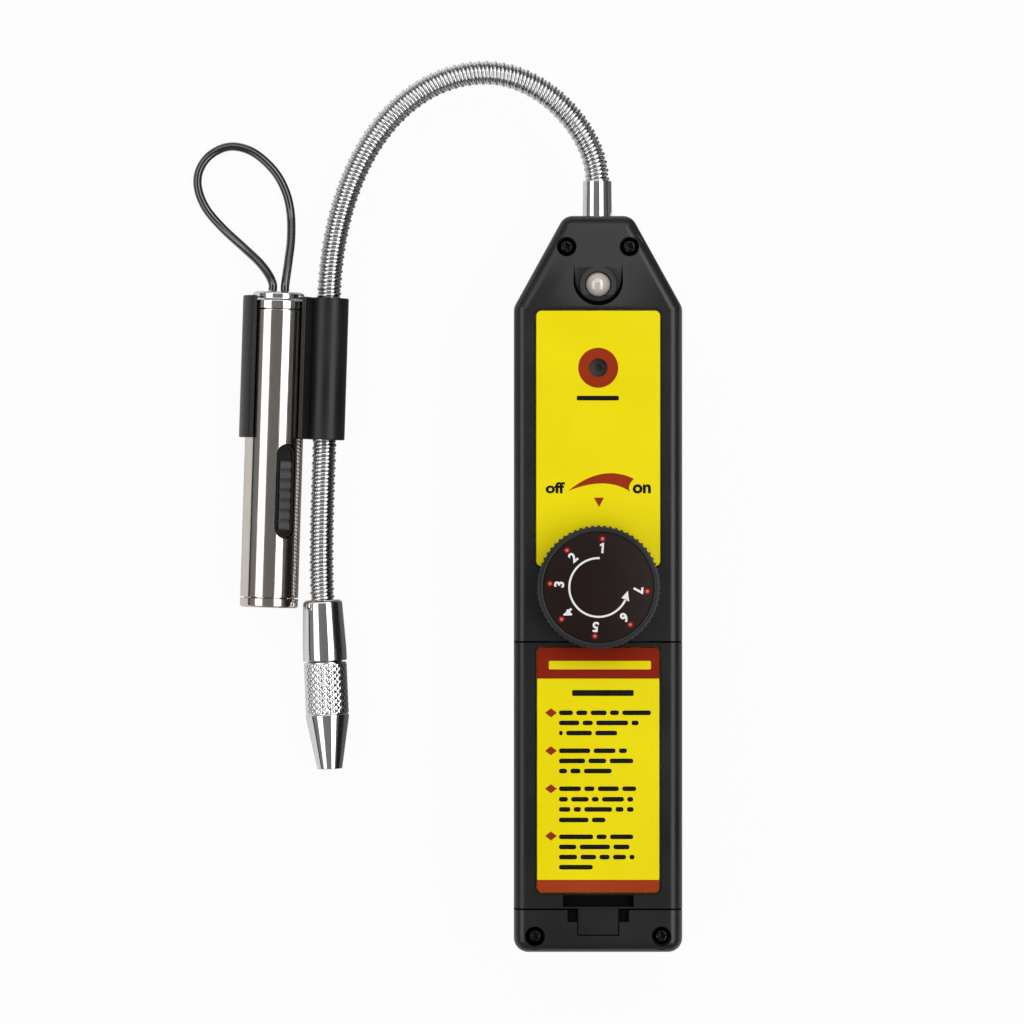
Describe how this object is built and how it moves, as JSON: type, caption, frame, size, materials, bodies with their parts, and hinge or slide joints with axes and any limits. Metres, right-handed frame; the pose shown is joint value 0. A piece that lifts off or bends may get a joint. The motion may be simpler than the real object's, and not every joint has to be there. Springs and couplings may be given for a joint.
{
  "type": "refrigerant leak detector",
  "caption": "Hand-held refrigerant leak detector: charcoal casing with a sensitivity dial, gooseneck probe with a knurled tip, and a clip-on torch on the neck.",
  "frame": {"origin": "middle of the casing's flat back, on the surface that the detector lies on", "axes": "+Y along the casing towards the neck, +Z out of the front face, +X to the right seen from the front"},
  "size_m": [0.1176, 0.2129, 0.043],
  "materials": {
    "casing_plastic": "fine spark-eroded charcoal",
    "door_plastic": "fine spark-eroded charcoal",
    "dial_plastic": "satin black",
    "dial_face": "printed brown-black",
    "label_film": "printed yellow film",
    "lamp_plastic": "milky warm white",
    "board_laminate": "green solder resist",
    "component_black": "moulded black",
    "component_blue": "shrunk sleeve",
    "transformer_core": "varnished",
    "nickel_plate": "bright nickel",
    "chrome_plate": "polished chrome",
    "neck_steel": "bright spring steel",
    "torch_steel": "brushed stainless",
    "screw_steel": "blackened steel",
    "cell_sleeve": "printed sleeve",
    "holder_rubber": "matt black",
    "loop_cord": "glossy black",
    "lead_sleeve": "grey sleeve",
    "lens": "clear",
    "sensor_ceramic": "unglazed"
  },
  "bodies": {
    "casing": {"rear_casing": "casing_plastic", "front_casing": "casing_plastic", "front_label": "label_film", "casing_screw_1": "screw_steel", "casing_screw_2": "screw_steel", "casing_screw_3": "screw_steel", "casing_screw_4": "screw_steel", "dial_nut": "nickel_plate", "potentiometer": "nickel_plate", "indicator_lamp": "lamp_plastic", "lamp_spacer": "component_black", "buzzer": "component_black", "main_board": "board_laminate", "boost_transformer": "transformer_core", "driver_chip": "component_black", "filter_capacitor_1": "component_blue", "filter_capacitor_2": "component_blue", "battery_cell_1": "cell_sleeve", "battery_cell_2": "cell_sleeve", "battery_cell_3": "cell_sleeve", "battery_cell_4": "cell_sleeve", "contact_spring_1": "nickel_plate", "contact_spring_2": "nickel_plate", "contact_spring_3": "nickel_plate", "contact_spring_4": "nickel_plate", "contact_plate_1": "nickel_plate", "contact_plate_2": "nickel_plate", "contact_plate_3": "nickel_plate", "contact_plate_4": "nickel_plate", "contact_plate_5": "nickel_plate", "neck_ferrule": "chrome_plate", "neck_nut": "nickel_plate", "gooseneck": "neck_steel", "sensor_lead": "lead_sleeve"},
    "door": {"battery_door": "door_plastic", "door_label": "label_film"},
    "dial": {"sensitivity_dial": "dial_plastic", "dial_plate": "dial_face", "dial_shaft": "nickel_plate"},
    "probe": {"probe_barrel": "chrome_plate", "sensor_socket": "component_black", "sensor_element": "sensor_ceramic"},
    "guard": {"tip_guard": "chrome_plate"},
    "holder": {"light_holder": "holder_rubber"},
    "torch": {"torch_tube": "torch_steel", "torch_tail_cap": "chrome_plate", "torch_cell": "cell_sleeve", "torch_lamp_holder": "component_black", "torch_lamp": "lamp_plastic", "switch_liner": "component_black", "hand_loop": "loop_cord"},
    "slider": {"switch_slider": "component_black"},
    "head_ring": {"torch_head_ring": "torch_steel", "torch_lens": "lens"}
  },
  "joints": [
    {"name": "dial_turn", "type": "hinge", "parent": "casing", "child": "dial", "pos_m": [0, -0.0008, 0.04], "axis": [0, 0, 1], "range_deg": [-266, 34]},
    {"name": "door_tilt", "type": "hinge", "parent": "casing", "child": "door", "pos_m": [0, -0.014, 0.035], "axis": [-1, 0, 0], "range_deg": [0, 40]},
    {"name": "neck_flex", "type": "hinge", "parent": "casing", "child": "probe", "pos_m": [-0.033, 0.106, 0.012], "axis": [0, 0, 1], "range_deg": [-30, 10], "deforming": ["gooseneck", "sensor_lead"]},
    {"name": "guard_turn", "type": "hinge", "parent": "probe", "child": "guard", "pos_m": [-0.06615, -0.0042, 0.0076], "axis": [0.0436, -0.999, 0], "range_deg": [0, 360]},
    {"name": "holder_swing", "type": "hinge", "parent": "probe", "child": "holder", "pos_m": [-0.0651, 0.0515, 0.0076], "axis": [0.0314, 0.9995, 0], "range_deg": [0, 90]},
    {"name": "torch_slide", "type": "slide", "parent": "holder", "child": "torch", "axis": [0.0314, 0.9995, 0], "range_m": [-0.003, 0.075]},
    {"name": "switch_slide", "type": "slide", "parent": "torch", "child": "slider", "axis": [0.0314, 0.9995, 0], "range_m": [0, 0.002]},
    {"name": "head_ring_turn", "type": "hinge", "parent": "torch", "child": "head_ring", "pos_m": [-0.07666, 0.06998, 0.00881], "axis": [-0.0314, -0.9995, 0], "range_deg": [0, 360]}
  ]
}
